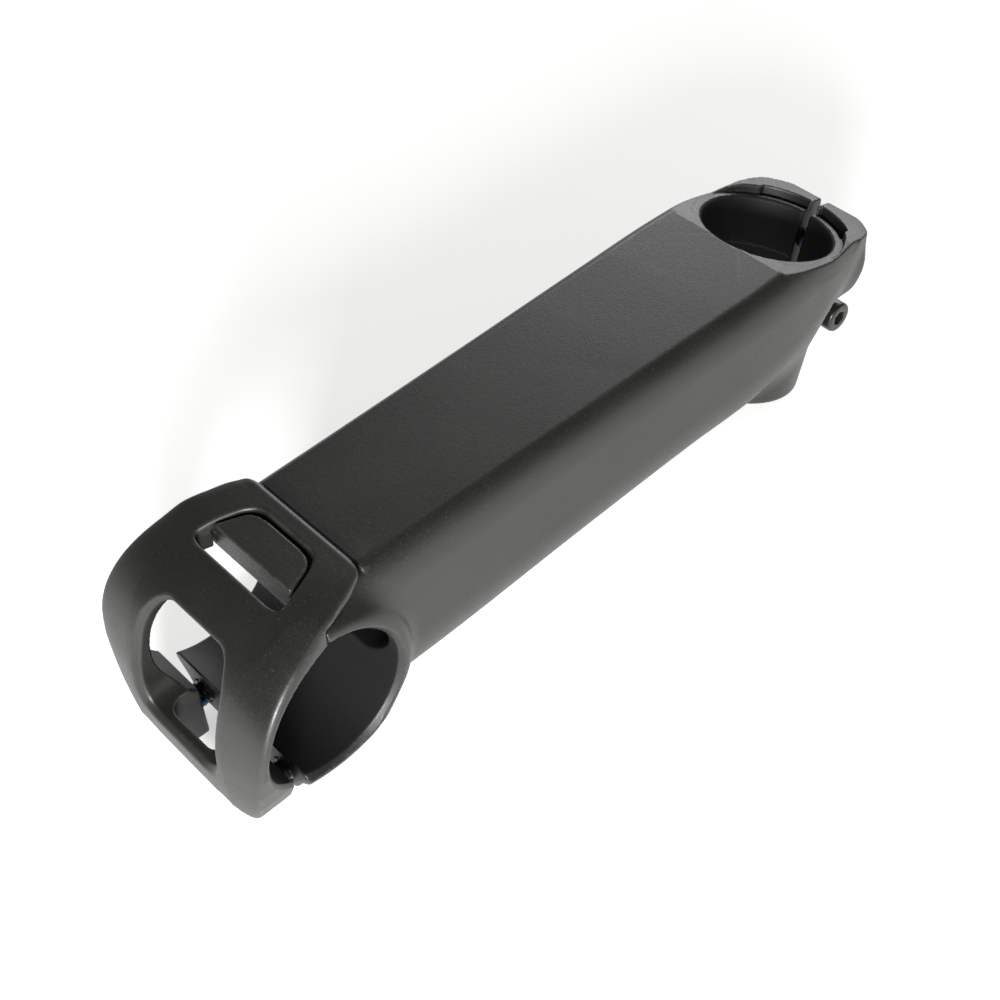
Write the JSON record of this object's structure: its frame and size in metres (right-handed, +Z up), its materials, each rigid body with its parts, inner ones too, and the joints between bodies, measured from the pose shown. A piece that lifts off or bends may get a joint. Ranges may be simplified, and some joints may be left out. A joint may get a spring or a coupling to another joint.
{
  "type": "bicycle handlebar stem",
  "caption": "Black alloy stem for a racing bicycle: a hollow beam clamps the steerer tube by side bolts and holds the handlebar under a hooked, windowed faceplate.",
  "frame": {"origin": "the bottom centre of the whole stem's box, on the surface that it lies on", "axes": "+X towards the handlebar, +Y to the rider's left, +Z up; the handlebar runs along Y and the steerer leans back from Z"},
  "size_m": [0.1798, 0.0486, 0.0472],
  "materials": {
    "black_anodised": "matte, fine blasted grain",
    "bolt_steel": "black oxide, satin",
    "washer_steel": "satin",
    "thread_lock": "matte"
  },
  "bodies": {
    "stem": {"stem_body": "black_anodised", "faceplate": "black_anodised"},
    "left_faceplate_washer": {"faceplate_left_washer": "washer_steel"},
    "left_faceplate_bolt": {"faceplate_left_bolt": "bolt_steel", "faceplate_left_threadlock": "thread_lock"},
    "right_faceplate_washer": {"faceplate_right_washer": "washer_steel"},
    "right_faceplate_bolt": {"faceplate_right_bolt": "bolt_steel", "faceplate_right_threadlock": "thread_lock"},
    "upper_steerer_washer": {"steerer_upper_washer": "washer_steel"},
    "upper_steerer_bolt": {"steerer_upper_bolt": "bolt_steel", "steerer_upper_threadlock": "thread_lock"},
    "lower_steerer_washer": {"steerer_lower_washer": "washer_steel"},
    "lower_steerer_bolt": {"steerer_lower_bolt": "bolt_steel", "steerer_lower_threadlock": "thread_lock"}
  },
  "joints": [
    {"name": "left_faceplate_bolt_out", "type": "slide", "parent": "stem", "child": "left_faceplate_washer", "axis": [0.9997, 0, -0.0262], "range_m": [0, 0.008]},
    {"name": "left_faceplate_bolt_turn", "type": "hinge", "parent": "left_faceplate_washer", "child": "left_faceplate_bolt", "pos_m": [0.07674, 0.0124, 0.00519], "axis": [0.9997, 0, -0.0262], "range_deg": [0, 3600]},
    {"name": "right_faceplate_bolt_out", "type": "slide", "parent": "stem", "child": "right_faceplate_washer", "axis": [0.9997, 0, -0.0262], "range_m": [0, 0.008]},
    {"name": "right_faceplate_bolt_turn", "type": "hinge", "parent": "right_faceplate_washer", "child": "right_faceplate_bolt", "pos_m": [0.07674, -0.0124, 0.00519], "axis": [0.9997, 0, -0.0262], "range_deg": [0, 3600]},
    {"name": "upper_steerer_bolt_out", "type": "slide", "parent": "stem", "child": "upper_steerer_washer", "axis": [0, -1, 0], "range_m": [0, 0.007]},
    {"name": "upper_steerer_bolt_turn", "type": "hinge", "parent": "upper_steerer_washer", "child": "upper_steerer_bolt", "pos_m": [-0.08482, 0, 0.0257], "axis": [0, -1, 0], "range_deg": [0, 3600]},
    {"name": "lower_steerer_bolt_out", "type": "slide", "parent": "stem", "child": "lower_steerer_washer", "axis": [0, 1, 0], "range_m": [0, 0.007]},
    {"name": "lower_steerer_bolt_turn", "type": "hinge", "parent": "lower_steerer_washer", "child": "lower_steerer_bolt", "pos_m": [-0.08095, 0, 0.01328], "axis": [0, 1, 0], "range_deg": [0, 3600]}
  ],
  "couplings": [
    {"joint": "left_faceplate_bolt_turn", "follows": "left_faceplate_bolt_out", "rad_per_m": 7854},
    {"joint": "right_faceplate_bolt_turn", "follows": "right_faceplate_bolt_out", "rad_per_m": 7854},
    {"joint": "upper_steerer_bolt_turn", "follows": "upper_steerer_bolt_out", "rad_per_m": 8976},
    {"joint": "lower_steerer_bolt_turn", "follows": "lower_steerer_bolt_out", "rad_per_m": 8976}
  ]
}
